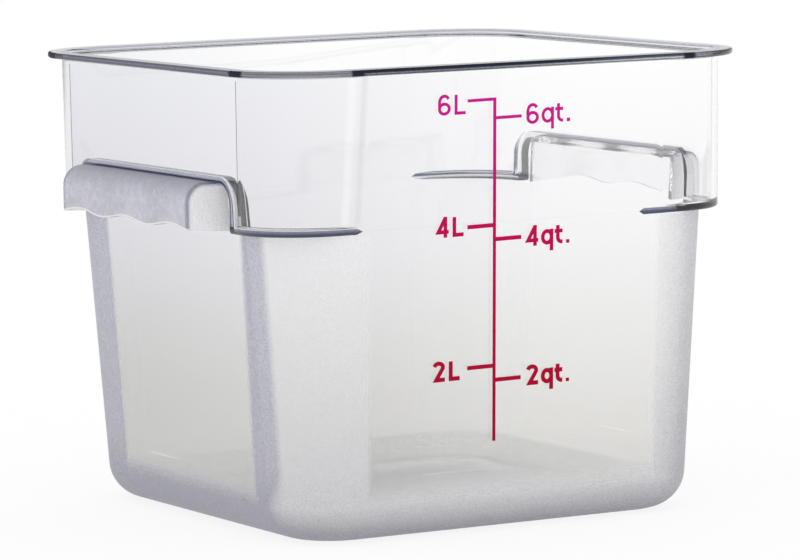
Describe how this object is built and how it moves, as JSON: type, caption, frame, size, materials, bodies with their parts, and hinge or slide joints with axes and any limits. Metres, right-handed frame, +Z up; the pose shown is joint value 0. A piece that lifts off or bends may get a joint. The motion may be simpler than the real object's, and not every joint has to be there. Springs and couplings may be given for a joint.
{
  "type": "food storage container",
  "caption": "Square clear food storage tub with a flat lid rim, a hand grip on each side, a tapered body and a printed capacity scale.",
  "frame": {"origin": "middle of the flat base's underside", "axes": "+Z up to the open rim, -Y out of the wall that carries the printed scale, -X and +X out of the two hand grips"},
  "size_m": [0.2384, 0.222, 0.1834],
  "materials": {
    "clear_plastic": "clear polycarbonate: polished on its flat walls and upper band, finely frosted on the lower corners, the base edge and the grips",
    "ink_top": "screen-printed ink, magenta",
    "ink_middle": "screen-printed ink, crimson",
    "ink_low": "screen-printed ink, dark red"
  },
  "bodies": {
    "root": {"container_body": "clear_plastic", "scale_line": "ink_middle", "litre_figure_top": "ink_top", "litre_figure_middle": "ink_middle", "litre_figure_low": "ink_low", "litre_letter_top": "ink_top", "litre_letter_middle": "ink_middle", "litre_letter_low": "ink_low", "quart_figure_top": "ink_top", "quart_figure_middle": "ink_middle", "quart_figure_low": "ink_low", "quart_letter_q_top": "ink_top", "quart_letter_q_middle": "ink_middle", "quart_letter_q_low": "ink_low", "quart_letter_t_top": "ink_top", "quart_letter_t_middle": "ink_middle", "quart_letter_t_low": "ink_low", "quart_stop_top": "ink_top", "quart_stop_middle": "ink_middle", "quart_stop_low": "ink_low"}
  },
  "joints": []
}
